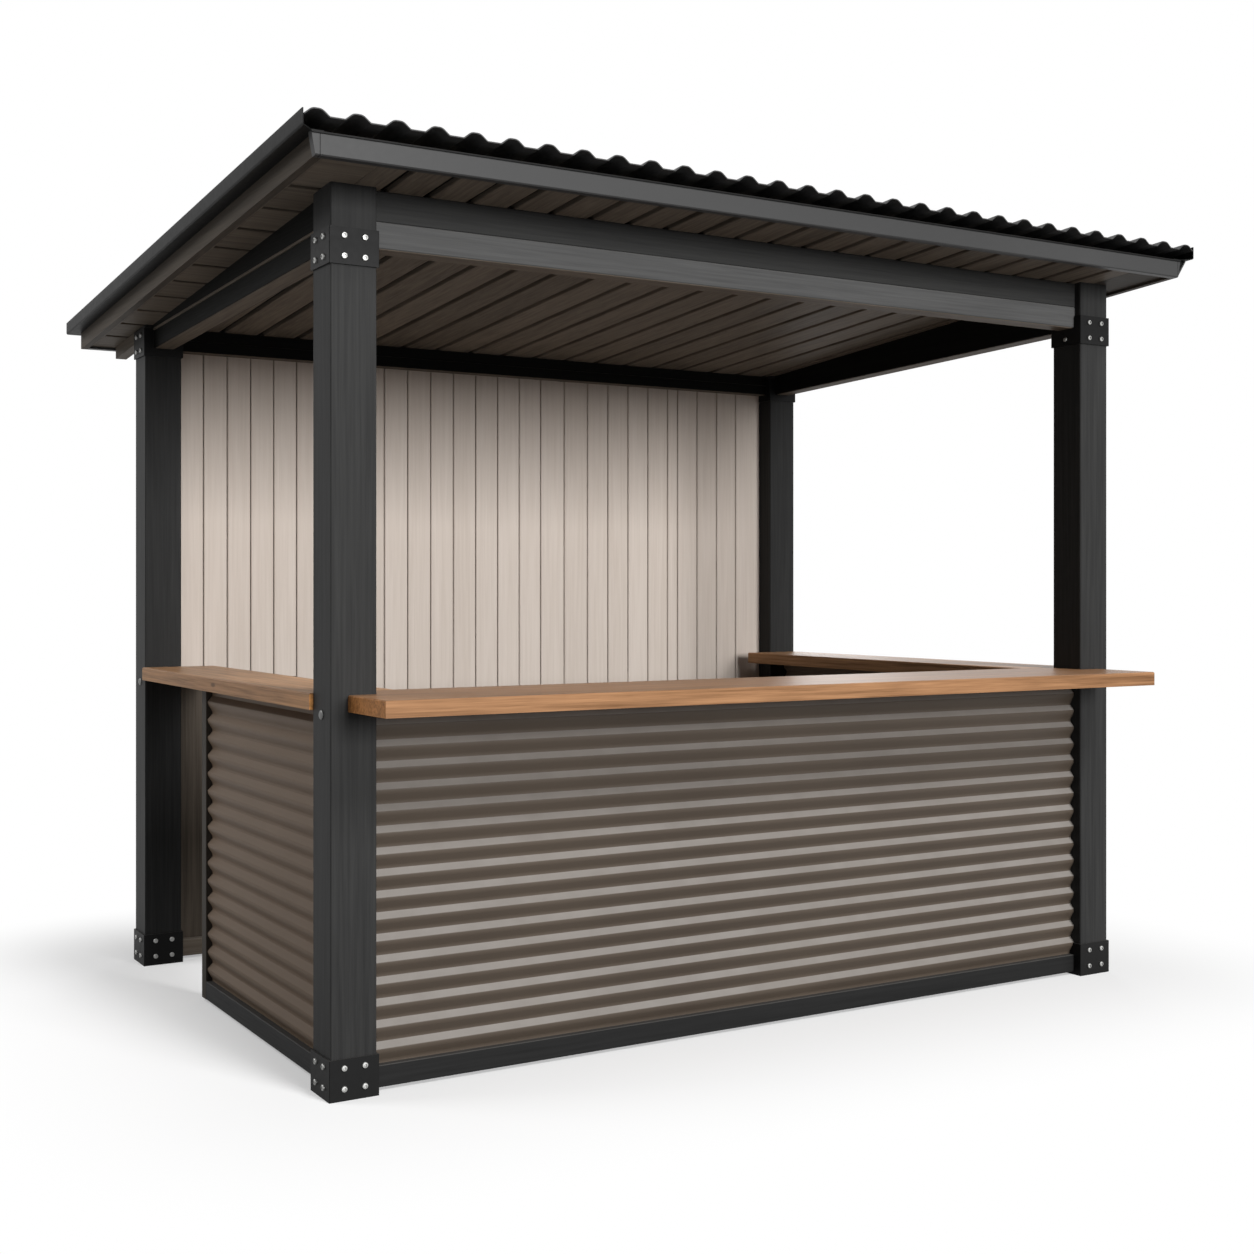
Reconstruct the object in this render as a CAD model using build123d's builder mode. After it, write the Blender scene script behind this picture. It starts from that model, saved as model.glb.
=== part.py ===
from build123d import *
import os
from math import atan2, cos, radians, sin, tan

# Garden bar: four posts carry a lean-to roof over a counter on three sides.
# The origin is on the ground under the middle of the plan, with the front towards -Y.

# Main frame, measured over the posts
frame_width = 2770.0
frame_depth = 1885.0
post_side = 125.0
post_arris = 3.0
soffit_height = 2323.0
roof_fall_share = 0.068

# Steel shoes under the posts and wrapped brackets at their heads
plate_thickness = 5.0
plate_corner = 1.5
shoe_height = 106.0
shoe_floor = 6.0
bracket_height = 94.0
front_bracket_drop = 56.0
back_bracket_drop = 28.0

# Ring of beams under the roof
beam_width = 75.0
beam_arris = 2.5
front_beam_upper_depth = 80.0
front_beam_lower_depth = 68.0
back_beam_upper_depth = 38.0
back_beam_lower_depth = 38.0
side_ledge = 6.0
side_ledge_front_share = 0.54
side_ledge_back_share = 0.14
rafter_tail_width = 38.0
rafter_tail_depth = 42.0
rafter_tail_length = 274.0

# Timber counters
counter_height = 1026.0
counter_thickness = 43.0
counter_arris = 3.0
counter_front_reach = 245.0
counter_back_reach = 161.0
counter_end_inset = 47.0
counter_side_reach = 10.0
counter_side_width = 250.0

# Corrugated apron panels, bottom rails and the jamb beside the way in
rail_height = 57.0
rail_depth = 60.0
rail_ground_gap = 10.0
rail_arris = 2.0
front_rail_inset = 25.0
side_rail_inset = 30.0
apron_setback = 14.0
apron_thickness = 3.0
apron_wave_pitch = 55.8
apron_depth = 15.0
apron_ledge_height = 16.6
apron_lean = radians(32)
apron_bend_radius = 22.0
apron_flat_band = 20.0
left_panel_run = 1075.0
jamb_width = 45.0
jamb_depth = 48.0

# Boarded back wall
back_wall_thickness = 22.0

# Roof edge boards, soffit and flashings, set out from the sloping soffit line
ceiling_thickness = 18.0
fascia_thickness = 22.0
fascia_drop = 8.0
fascia_height = 57.0
fascia_flare = 10.0
side_overhang = 115.0
front_overhang = 203.0
rear_overhang = 315.0
flashing_thickness = 3.0
flashing_height = 41.0
flashing_reach = 42.5
batten_width = 45.0

# Corrugated roof sheet
sheet_thickness = 3.0
sheet_wave_pitch = 104.4
sheet_wave_depth = 16.5
sheet_lean = radians(39)
sheet_crest_width = 24.0
sheet_crest_radius = 22.0
sheet_front_lip = 27.0
sheet_rear_lip = 40.0
sheet_edge_gap = 1.5
sheet_vent_gap = 23.0

# Lines that several pieces share
half_width = frame_width / 2
half_depth = frame_depth / 2
inner_x = half_width - post_side
inner_y = half_depth - post_side
post_x = half_width - post_side / 2
post_y = half_depth - post_side / 2
plate_side = post_side + 2 * plate_thickness
beam_inset = (post_side - beam_width) / 2
beam_outer_x = half_width - beam_inset
beam_outer_y = half_depth - beam_inset
counter_underside = counter_height - counter_thickness
rail_top = rail_ground_gap + rail_height
front_y = -half_depth - front_overhang
rear_y = half_depth + rear_overhang
board_front_y = front_y + fascia_thickness
board_rear_y = rear_y - fascia_thickness
verge_x = half_width + side_overhang
verge_inner_x = verge_x - fascia_thickness
edge_top = fascia_height - fascia_drop
flashing_x = verge_x + flashing_reach
sheet_seat = edge_top + flashing_thickness + sheet_vent_gap

front_edge_y = min(front_y - sheet_front_lip, -half_depth - counter_front_reach)
plan_middle_y = (front_edge_y + rear_y + sheet_rear_lip) / 2

os.makedirs("parts", exist_ok=True)


# Depths are counted from the middle of the posts. These planes set them from the origin.
def level_plane(height):
    return Plane((0, -plan_middle_y, height))


def side_plane(x):
    return Plane((x, -plan_middle_y, 0), x_dir=Axis.Y.direction, z_dir=Axis.X.direction)


def cross_plane(y):
    return Plane((0, y - plan_middle_y, 0), x_dir=Axis.X.direction, z_dir=-Axis.Y.direction)


def post_plane(side_x, side_y, height):
    return Plane((side_x * post_x, side_y * post_y - plan_middle_y, height))


def soffit(y):
    # Height of the underside of the roof boards at a depth y
    return soffit_height - roof_fall_share * (y + half_depth)


front_beam_joint = soffit(-beam_outer_y) - front_beam_upper_depth
front_beam_bottom = front_beam_joint - front_beam_lower_depth
back_beam_joint = soffit(beam_outer_y - beam_width) - back_beam_upper_depth
back_beam_bottom = back_beam_joint - back_beam_lower_depth


def side_beam_line(y, front_height, back_height):
    # Height at y of a straight line between the front and the back posts
    along_share = (y + inner_y) / (inner_y + inner_y)
    return front_height + (back_height - front_height) * along_share


def finish(piece, name):
    # Label a finished piece and write it out
    piece.part.label = name
    export_step(piece.part, "parts/" + name + ".step")


def roof_run(y_from, y_to):
    # Direction and length of a piece that follows the fall of the roof
    return Vector(0, y_to - y_from, -roof_fall_share * (y_to - y_from))


def bent_corner(corner, skin):
    # One corner of a bent sheet on the face that lies at a distance skin from its middle line.
    # A corner has a place, the headings before and after it, and the radius of its bend.
    along, height, into, out, radius = corner
    turn = out - into
    middle = (into + out) / 2
    side = 1 if turn > 0 else -1
    reach = skin / cos(turn / 2)
    spot = (along - reach * sin(middle), height + reach * cos(middle))
    if not radius:
        return [spot]
    bend = radius - side * skin
    back = bend * tan(abs(turn) / 2)
    lift = side * (bend / cos(turn / 2) - bend)
    return [
        (spot[0] - back * cos(into), spot[-1] - back * sin(into)),
        (spot[0] - lift * sin(middle), spot[-1] + lift * cos(middle)),
        (spot[0] + back * cos(out), spot[-1] + back * sin(out)),
    ]


def sheet_sketch(plane, corners, thickness, place):
    # Closed section of a bent sheet: two faces of arcs and straight flanks, and its two edges
    faces = [[bent_corner(corner, skin) for corner in corners] for skin in (thickness / 2, -thickness / 2)]
    with BuildSketch(plane) as section:
        with BuildLine():
            for face in faces:
                for bend in face:
                    if len(bend) > 1:
                        ThreePointArc(*[place(spot) for spot in bend])
                for before, after in zip(face, face[1:]):
                    Line(place(before[-1]), place(after[0]))
            for end in (0, -1):
                Line(place(faces[0][end][end]), place(faces[-1][end][end]))
        make_face()
    return section.sketch


def plate_outlines(bottom):
    # Outlines of the steel plates that wrap the four posts, for pieces that stop against them
    with BuildSketch(level_plane(bottom)) as outlines:
        with GridLocations(2 * post_x, 2 * post_y, 2, 2):
            Rectangle(plate_side, plate_side)
    return outlines.sketch


shoe_outlines = plate_outlines(0)


corners = {
    "front_left": (-1, -1),
    "front_right": (1, -1),
    "back_left": (-1, 1),
    "back_right": (1, 1),
}

# Posts, each with its head cut to the fall of the roof
for corner, (side_x, side_y) in corners.items():
    near = side_y * post_y - post_side / 2
    far = side_y * post_y + post_side / 2
    with BuildPart() as post:
        with BuildSketch(side_plane(side_x * post_x - post_side / 2)):
            with BuildLine():
                Polyline(
                    (near, shoe_floor),
                    (far, shoe_floor),
                    (far, soffit(far)),
                    (near, soffit(near)),
                    close=True,
                )
            make_face()
        extrude(amount=post_side)
        chamfer(post.edges().filter_by(Axis.Z), length=post_arris)
    finish(post, "post_" + corner)

# Shoes: a floor plate and a wrapped collar, open at the top
for corner, (side_x, side_y) in corners.items():
    with BuildPart() as shoe:
        with BuildSketch(post_plane(side_x, side_y, 0)) as collar:
            Rectangle(plate_side, plate_side)
            chamfer(collar.vertices(), length=plate_corner)
        extrude(amount=shoe_height)
        with BuildSketch(post_plane(side_x, side_y, shoe_floor)):
            Rectangle(post_side, post_side)
        extrude(amount=shoe_height, mode=Mode.SUBTRACT)
    finish(shoe, "post_shoe_" + corner)

# Head brackets, cut away where the beams come in
for corner, (side_x, side_y) in corners.items():
    beam_bottom = front_beam_bottom if side_y < 0 else back_beam_bottom
    drop = front_bracket_drop if side_y < 0 else back_bracket_drop
    face_y = side_y * inner_y
    plate_y = face_y - side_y * plate_thickness
    side_bottom = min(
        side_beam_line(face_y, front_beam_bottom, back_beam_bottom),
        side_beam_line(plate_y, front_beam_bottom, back_beam_bottom),
    )
    with BuildPart() as bracket:
        with BuildSketch(post_plane(side_x, side_y, beam_bottom - drop)) as wrap:
            Rectangle(plate_side, plate_side)
            chamfer(wrap.vertices(), length=plate_corner)
            Rectangle(post_side, post_side, mode=Mode.SUBTRACT)
        extrude(amount=bracket_height)
        with BuildSketch(post_plane(side_x, side_y, beam_bottom)):
            with Locations((-side_x * (post_side / 2 + plate_thickness / 2), 0)):
                Rectangle(plate_thickness, beam_width)
        extrude(amount=bracket_height, mode=Mode.SUBTRACT)
        with BuildSketch(post_plane(side_x, side_y, side_bottom)):
            with Locations((0, -side_y * (post_side / 2 + plate_thickness / 2))):
                Rectangle(beam_width, plate_thickness)
        extrude(amount=bracket_height, mode=Mode.SUBTRACT)
    finish(bracket, "post_bracket_" + corner)


def cross_beam(name, outer_y, bottom, top_near, top_far):
    # Beam across the width between two posts, with eased long edges
    with BuildPart() as beam:
        with BuildSketch(side_plane(-inner_x)):
            with BuildLine():
                Polyline(
                    (outer_y, bottom),
                    (outer_y + beam_width, bottom),
                    (outer_y + beam_width, top_far),
                    (outer_y, top_near),
                    close=True,
                )
            make_face()
        extrude(amount=2 * inner_x)
        chamfer(beam.edges().filter_by(Axis.X), length=beam_arris)
    finish(beam, name)


# Front beam in two stacked timbers
front_beam_y = -beam_outer_y
cross_beam("front_beam_lower", front_beam_y, front_beam_bottom, front_beam_joint, front_beam_joint)
front_beam_back = soffit(front_beam_y + beam_width)
cross_beam("front_beam_upper", front_beam_y, front_beam_joint, soffit(front_beam_y), front_beam_back)

# Back beam in two stacked timbers
back_beam_y = beam_outer_y - beam_width
cross_beam("back_beam_lower", back_beam_y, back_beam_bottom, back_beam_joint, back_beam_joint)
back_beam_back = soffit(beam_outer_y)
cross_beam("back_beam_upper", back_beam_y, back_beam_joint, soffit(back_beam_y), back_beam_back)

# Side beams, level with the cross beams at both ends, with a rebate along the outer face
ledge_front = soffit(-inner_y) - side_ledge_front_share * (soffit(-inner_y) - front_beam_bottom)
ledge_back = soffit(inner_y) - side_ledge_back_share * (soffit(inner_y) - back_beam_bottom)
for side, side_x in {"left": -1, "right": 1}.items():
    low_x = min(side_x * beam_outer_x, side_x * (beam_outer_x - beam_width))
    rebate_x = min(side_x * beam_outer_x, side_x * (beam_outer_x - side_ledge))
    with BuildPart() as side_beam:
        with BuildSketch(side_plane(low_x)):
            with BuildLine():
                Polyline(
                    (-inner_y, front_beam_bottom),
                    (inner_y, back_beam_bottom),
                    (inner_y, soffit(inner_y)),
                    (-inner_y, soffit(-inner_y)),
                    close=True,
                )
            make_face()
        extrude(amount=beam_width)
        with BuildSketch(side_plane(rebate_x)):
            with BuildLine():
                Polyline(
                    (-inner_y, front_beam_bottom),
                    (inner_y, back_beam_bottom),
                    (inner_y, ledge_back),
                    (-inner_y, ledge_front),
                    close=True,
                )
            make_face()
        extrude(amount=side_ledge, mode=Mode.SUBTRACT)
    finish(side_beam, side + "_side_beam")

# Rafter tails that carry the roof on behind the back posts
for side, side_x in {"left": -1, "right": 1}.items():
    tail_x = min(side_x * half_width, side_x * (half_width - rafter_tail_width))
    tail_start = half_depth + plate_thickness
    tail_end = tail_start + rafter_tail_length
    with BuildPart() as rafter_tail:
        with BuildSketch(side_plane(tail_x)):
            with BuildLine():
                Polyline(
                    (tail_start, soffit(tail_start) - rafter_tail_depth),
                    (tail_end, soffit(tail_end) - rafter_tail_depth),
                    (tail_end, soffit(tail_end)),
                    (tail_start, soffit(tail_start)),
                    close=True,
                )
            make_face()
        extrude(amount=rafter_tail_width)
    finish(rafter_tail, side + "_rafter_tail")

# Front counter, fitted round the two front posts
counter_x = half_width - counter_end_inset
counter_back_y = -half_depth + counter_back_reach
with BuildPart() as front_counter:
    with BuildSketch(level_plane(counter_underside)):
        with BuildLine():
            Polyline(
                (-counter_x, -half_depth - counter_front_reach),
                (counter_x, -half_depth - counter_front_reach),
                (counter_x, -half_depth),
                (inner_x, -half_depth),
                (inner_x, counter_back_y),
                (-inner_x, counter_back_y),
                (-inner_x, -half_depth),
                (-counter_x, -half_depth),
                close=True,
            )
        make_face()
    extrude(amount=counter_thickness)
    chamfer(front_counter.faces().sort_by(Axis.Z)[-1].edges(), length=counter_arris)
finish(front_counter, "front_counter")

# Side counters, from the back of the front posts to the front of the back posts
for side, side_x in {"left": -1, "right": 1}.items():
    counter_outer_x = half_width + counter_side_reach
    counter_inner_x = counter_outer_x - counter_side_width
    with BuildPart() as side_counter:
        with BuildSketch(level_plane(counter_underside)):
            with BuildLine():
                Polyline(
                    (side_x * counter_outer_x, -inner_y),
                    (side_x * inner_x, -inner_y),
                    (side_x * inner_x, counter_back_y),
                    (side_x * counter_inner_x, counter_back_y),
                    (side_x * counter_inner_x, inner_y),
                    (side_x * counter_outer_x, inner_y),
                    close=True,
                )
            make_face()
        extrude(amount=counter_thickness)
        chamfer(side_counter.faces().sort_by(Axis.Z)[-1].edges(), length=counter_arris)
    finish(side_counter, side + "_counter")

# Apron waves from the rail upwards, as many as fit below the counter with a flat band above them.
# Each wave swells out in a slow curve and falls back in a straight ledge.
apron_height = counter_underside - rail_top
apron_waves = int((apron_height - apron_flat_band) / apron_wave_pitch)
apron_rise = apron_depth / 2
ledge_lean = atan2(apron_depth, apron_ledge_height)
swell_height = apron_depth / tan(apron_lean)
swell_start = (apron_wave_pitch - apron_ledge_height - swell_height) / 2
apron_corners = [(0, -apron_rise, 0, 0, 0)]
for wave in range(apron_waves):
    swell_foot = wave * apron_wave_pitch + swell_start
    swell_head = swell_foot + swell_height
    ledge_foot = swell_head + swell_start
    ledge_head = ledge_foot + apron_ledge_height
    apron_corners.append((swell_foot, -apron_rise, 0, apron_lean, apron_bend_radius))
    apron_corners.append((swell_head, apron_rise, apron_lean, 0, apron_bend_radius))
    apron_corners.append((ledge_foot, apron_rise, 0, -ledge_lean, 0))
    apron_corners.append((ledge_head, -apron_rise, -ledge_lean, 0, 0))
apron_corners.append((apron_height, -apron_rise, 0, 0, 0))

# Front apron of horizontal corrugations between the front posts
front_rail_y = -half_depth + front_rail_inset
apron_y = front_rail_y + apron_setback
front_section = sheet_sketch(
    side_plane(-inner_x),
    apron_corners,
    apron_thickness,
    lambda spot: (apron_y - spot[-1], rail_top + spot[0]),
)
with BuildPart() as front_panel:
    extrude(front_section, amount=2 * inner_x)
    extrude(shoe_outlines, amount=shoe_height, mode=Mode.SUBTRACT)
finish(front_panel, "front_panel")

# Side aprons: the left one stops at the jamb, the right one reaches the back post
jamb_end_y = -inner_y + left_panel_run
jamb_y = jamb_end_y - jamb_width
side_rail_x = half_width - side_rail_inset
apron_x = side_rail_x - apron_setback
for side, side_x, panel_end_y in (("left", -1, jamb_y), ("right", 1, inner_y)):
    side_section = sheet_sketch(
        cross_plane(-inner_y),
        apron_corners,
        apron_thickness,
        lambda spot: (side_x * (apron_x + spot[-1]), rail_top + spot[0]),
    )
    with BuildPart() as side_panel:
        extrude(side_section, amount=panel_end_y + inner_y, dir=(0, panel_end_y + inner_y, 0))
        extrude(shoe_outlines, amount=shoe_height, mode=Mode.SUBTRACT)
    finish(side_panel, side + "_panel")
    with BuildPart() as side_rail:
        with BuildSketch(level_plane(rail_ground_gap)):
            with BuildLine():
                Polyline(
                    (side_x * side_rail_x, -inner_y),
                    (side_x * (side_rail_x - rail_depth), -inner_y),
                    (side_x * (side_rail_x - rail_depth), panel_end_y),
                    (side_x * side_rail_x, panel_end_y),
                    close=True,
                )
            make_face()
        extrude(amount=rail_height)
        chamfer(side_rail.edges().filter_by(Axis.Y), length=rail_arris)
        extrude(shoe_outlines, amount=shoe_height, mode=Mode.SUBTRACT)
    finish(side_rail, side + "_bottom_rail")

# Jamb that closes the left apron beside the way in
with BuildPart() as panel_jamb:
    with BuildSketch(level_plane(rail_ground_gap)):
        with BuildLine():
            Polyline(
                (-side_rail_x, jamb_y),
                (-side_rail_x + jamb_depth, jamb_y),
                (-side_rail_x + jamb_depth, jamb_end_y),
                (-side_rail_x, jamb_end_y),
                close=True,
            )
        make_face()
    extrude(amount=counter_underside - rail_ground_gap)
    chamfer(panel_jamb.edges().filter_by(Axis.Z), length=rail_arris)
finish(panel_jamb, "panel_jamb")

# Bottom rails across the front and the back
back_rail_y = beam_outer_y - rail_depth
for side, rail_y in {"front": front_rail_y, "back": back_rail_y}.items():
    with BuildPart() as cross_rail:
        with BuildSketch(level_plane(rail_ground_gap)):
            with BuildLine():
                Polyline(
                    (-inner_x, rail_y),
                    (inner_x, rail_y),
                    (inner_x, rail_y + rail_depth),
                    (-inner_x, rail_y + rail_depth),
                    close=True,
                )
            make_face()
        extrude(amount=rail_height)
        chamfer(cross_rail.edges().filter_by(Axis.X), length=rail_arris)
        extrude(shoe_outlines, amount=shoe_height, mode=Mode.SUBTRACT)
    finish(cross_rail, side + "_bottom_rail")

# Boarded wall between the back posts, flush with the outer face of the back beam
wall_y = beam_outer_y - back_wall_thickness
back_bracket_outlines = plate_outlines(back_beam_bottom - back_bracket_drop)
with BuildPart() as back_wall:
    with BuildSketch(level_plane(rail_top)):
        with BuildLine():
            Polyline(
                (-inner_x, wall_y),
                (inner_x, wall_y),
                (inner_x, beam_outer_y),
                (-inner_x, beam_outer_y),
                close=True,
            )
        make_face()
    extrude(amount=back_beam_bottom - rail_top)
    extrude(shoe_outlines, amount=shoe_height, mode=Mode.SUBTRACT)
    extrude(back_bracket_outlines, amount=bracket_height, mode=Mode.SUBTRACT)
finish(back_wall, "back_wall")


def along_roof(name, outline, y_from, y_to, notch=()):
    # Piece with plumb ends that follows the fall of the roof. The heights of the outline
    # are counted from the soffit line. A notch is a plan outline that is cut away.
    run = roof_run(y_from, y_to)
    with BuildPart() as member:
        with BuildSketch(cross_plane(y_from)):
            with BuildLine():
                Polyline([(x, soffit(y_from) + height) for x, height in outline], close=True)
            make_face()
        extrude(amount=run.length, dir=run)
        if notch:
            with BuildSketch(level_plane(0)):
                with BuildLine():
                    Polyline(notch, close=True)
                make_face()
            extrude(amount=2 * soffit_height, mode=Mode.SUBTRACT)
    finish(member, name)


def band(x_from, x_to, low, high):
    # Four corners of a flat band across the roof
    return [(x_from, low), (x_to, low), (x_to, high), (x_from, high)]


# Ceiling boards over the bar and on the front overhang, and the soffit boards of the verges.
# The foot of each flashing is mitred from the end of the fascia to its upstand.
fascia_end_x = verge_x + fascia_flare
lip_y = front_y - sheet_front_lip
along_roof("ceiling", band(-post_x, post_x, 0, ceiling_thickness), board_front_y, board_rear_y)
for side, side_x in {"left": -1, "right": 1}.items():
    verge = band(side_x * post_x, side_x * verge_inner_x, 0, ceiling_thickness)
    along_roof(side + "_verge_soffit", verge, board_front_y, board_rear_y)
    barge = band(side_x * verge_inner_x, side_x * verge_x, -fascia_drop, edge_top)
    along_roof(side + "_barge_board", barge, board_front_y, rear_y)
    flashing_inner_x = flashing_x - flashing_thickness
    flashing = [
        (side_x * verge_inner_x, edge_top),
        (side_x * flashing_x, edge_top),
        (side_x * flashing_x, edge_top + flashing_height),
        (side_x * flashing_inner_x, edge_top + flashing_height),
        (side_x * flashing_inner_x, edge_top + flashing_thickness),
        (side_x * verge_inner_x, edge_top + flashing_thickness),
    ]
    mitre = [
        (side_x * flashing_inner_x, lip_y),
        (side_x * fascia_end_x, front_y),
        (side_x * verge_inner_x, front_y),
        (side_x * verge_inner_x, lip_y),
    ]
    along_roof(side + "_barge_flashing", flashing, lip_y, rear_y + sheet_rear_lip, mitre)

# Fascia boards at the front, with flared ends, and at the rear
front_board = [
    (-verge_x, -fascia_drop),
    (verge_x, -fascia_drop),
    (fascia_end_x, edge_top),
    (-fascia_end_x, edge_top),
]
along_roof("front_fascia", front_board, front_y, board_front_y)
rear_board = band(-verge_inner_x, verge_inner_x, -fascia_drop, edge_top)
along_roof("rear_fascia", rear_board, board_rear_y, rear_y)

# Battens between the boards and the roof sheet, over the beams and half way between them
batten_section = band(-verge_inner_x, verge_inner_x, ceiling_thickness, sheet_seat)
batten_y = beam_outer_y - beam_width / 2
for place, middle_y in {"front": -batten_y, "middle": 0, "rear": batten_y}.items():
    batten_start = middle_y - batten_width / 2
    along_roof("roof_batten_" + place, batten_section, batten_start, batten_start + batten_width)

# Corrugated roof sheet: low crests and flat troughs, with a crest along each verge
sheet_end_y = rear_y + sheet_rear_lip
sheet_half_width = flashing_x - flashing_thickness - sheet_edge_gap
flank_run = sheet_wave_depth / tan(sheet_lean)
crest_foot = sheet_crest_width + 2 * flank_run
crest_gaps = round((2 * sheet_half_width - crest_foot) / sheet_wave_pitch)
crest_pitch = (2 * sheet_half_width - crest_foot) / crest_gaps
sheet_corners = []
for crest in range(crest_gaps + 1):
    foot_x = crest * crest_pitch - sheet_half_width
    crest_x = foot_x + flank_run
    crest_end_x = crest_x + sheet_crest_width
    foot_end_x = foot_x + crest_foot
    before = sheet_lean if crest == 0 else 0
    after = -sheet_lean if crest == crest_gaps else 0
    sheet_corners.append((foot_x, 0, before, sheet_lean, 0))
    sheet_corners.append((crest_x, sheet_wave_depth, sheet_lean, 0, sheet_crest_radius))
    sheet_corners.append((crest_end_x, sheet_wave_depth, 0, -sheet_lean, sheet_crest_radius))
    sheet_corners.append((foot_end_x, 0, -sheet_lean, after, 0))

sheet_middle = soffit(lip_y) + sheet_seat + sheet_thickness / 2
sheet_section = sheet_sketch(
    cross_plane(lip_y),
    sheet_corners,
    sheet_thickness,
    lambda spot: (spot[0], sheet_middle + spot[-1]),
)
sheet_run = roof_run(lip_y, sheet_end_y)
with BuildPart() as roof_sheet:
    extrude(sheet_section, amount=sheet_run.length, dir=sheet_run)
finish(roof_sheet, "roof_sheet")
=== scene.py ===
# %% [markdown]
# # A garden bar
# This lesson dresses a small open-frame garden bar. The imported CAD model is the frame: posts, beams,
# counters and trims keep their CAD shape and only get a finish. Corrugated sheets, boards and bolts are made
# here as surfaces worked out with numpy, and each of them rides on the frame. The boxes around the CAD parts
# are kept from the start.

# %% Load the frame
import math

import bmesh
import bpy
import numpy as np
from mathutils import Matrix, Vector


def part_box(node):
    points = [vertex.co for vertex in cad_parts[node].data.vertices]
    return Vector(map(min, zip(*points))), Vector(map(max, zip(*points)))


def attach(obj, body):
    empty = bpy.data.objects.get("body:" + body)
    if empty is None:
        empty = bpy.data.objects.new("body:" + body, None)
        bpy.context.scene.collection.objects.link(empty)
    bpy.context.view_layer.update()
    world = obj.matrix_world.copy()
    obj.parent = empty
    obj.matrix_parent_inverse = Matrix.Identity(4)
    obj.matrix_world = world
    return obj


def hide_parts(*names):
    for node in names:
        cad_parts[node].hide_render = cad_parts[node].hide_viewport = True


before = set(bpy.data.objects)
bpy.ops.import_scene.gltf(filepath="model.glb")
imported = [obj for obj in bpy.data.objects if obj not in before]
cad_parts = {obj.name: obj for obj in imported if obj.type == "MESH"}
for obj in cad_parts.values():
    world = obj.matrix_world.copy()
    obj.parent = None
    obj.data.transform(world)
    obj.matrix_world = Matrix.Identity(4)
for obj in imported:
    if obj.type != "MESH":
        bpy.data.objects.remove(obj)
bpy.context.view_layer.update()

boxes = {name: np.array(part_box(name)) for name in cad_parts}

# %% [markdown]
# ## The camera
# The picture is taken from in front of the left corner, at the height of a chest. The posts stand upright
# in it. A camera that is tilted down would let them lean, so this one is level. The picture's middle lies
# below the horizon, so the lens is shifted down a little instead, as on a camera for buildings.

# %% Camera
photo_side, focal_pixels, horizon_row = 1254, 1647.3, 588.7
eye_place, eye_turn = (-2.886, -4.939, 1.296), math.radians(-31.054)
eye = bpy.data.objects.new("eye", bpy.data.cameras.new("eye"))
eye.location = eye_place
eye.rotation_euler = (math.radians(90), 0, eye_turn)
eye.data.lens = eye.data.sensor_width * focal_pixels / photo_side
eye.data.shift_y = (horizon_row - photo_side / 2) / photo_side
bpy.context.scene.collection.objects.link(eye)
bpy.context.scene.camera = eye
bpy.context.scene.view_settings.view_transform = "Standard"
print("lens:", round(eye.data.lens, 2), "mm")

# %% [markdown]
# ## Small helpers for node trees
# A material is a tree of nodes. It can be drawn by hand in the shader editor, but a script can be read and
# repeated. One helper fills the inputs of a node, with a number or colour or with the output of another
# node, and a second one adds the node first. That keeps every tree below readable.

# %% Node helpers
def fill(tree, node, inputs):
    """Fills inputs of a node with numbers, colours or the outputs of other nodes."""
    for key, value in inputs.items():
        if isinstance(value, bpy.types.NodeSocket):
            tree.links.new(value, node.inputs[key])
        else:
            node.inputs[key].default_value = value


def put(tree, kind, inputs=None, **options):
    """Adds one node, sets its options and fills its inputs."""
    made = tree.nodes.new(kind)
    for key, value in options.items():
        setattr(made, key, value)
    fill(tree, made, inputs or {})
    return made


def sums(tree, operation, first, second):
    """One step of arithmetic on two values, as a node's output."""
    return put(tree, "ShaderNodeMath", {0: first, 1: second}, operation=operation).outputs[0]


def vector_sums(tree, operation, first, second=(0, 0, 0)):
    """One step of arithmetic on two vectors, as a node's output."""
    return put(tree, "ShaderNodeVectorMath", {0: first, 1: second}, operation=operation).outputs[0]


def length_of(tree, vector):
    """The length of a vector, as a node's output."""
    return put(tree, "ShaderNodeVectorMath", {0: vector}, operation="LENGTH").outputs["Value"]


def between(tree, share, first, second):
    """The colour that lies a share of the way from the first colour to the second."""
    return put(tree, "ShaderNodeMix", {0: share, 6: first, 7: second}, data_type="RGBA").outputs[2]


print("node helpers ready")

# %% [markdown]
# ## Studio light
# The bar stands in a white room. Walls could be built for it, but a world shader does the same with less:
# it gives an even, weak light from all round, and shows pure white to rays that come straight from the
# camera or by way of a shiny face.

# %% White room
def seen_directly(tree):
    """1 for rays that show the background in the picture: straight, mirrored or let through."""
    path = put(tree, "ShaderNodeLightPath")
    mirrored = sums(tree, "MAXIMUM", path.outputs["Is Glossy Ray"], path.outputs["Is Transmission Ray"])
    return sums(tree, "MAXIMUM", path.outputs["Is Camera Ray"], mirrored)


room_light = 0.11
room = bpy.data.worlds.new("white_room")
room.use_nodes = True
bpy.context.scene.world = room
room.node_tree.nodes.clear()
dim = put(room.node_tree, "ShaderNodeBackground", {"Color": (1, 1, 1, 1), "Strength": room_light})
white = put(room.node_tree, "ShaderNodeBackground", {"Color": (1, 1, 1, 1), "Strength": 1.0})
either = put(room.node_tree, "ShaderNodeMixShader",
             {0: seen_directly(room.node_tree), 1: dim.outputs[0], 2: white.outputs[0]})
put(room.node_tree, "ShaderNodeOutputWorld", {"Surface": either.outputs[0]})
print("room light:", room_light)

# %% [markdown]
# The roof throws a deep shade, and the back wall is bright all the same. Only a low light from the front
# reaches it. A lamp close by would light the near pieces far more than the wall, so a broad one stands far
# off, a little to the right. A second one, in front and high up, lights the ledges of the sheets and the
# counters. Two weak ones, high on the left and behind on the right, keep the other sides readable.

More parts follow.
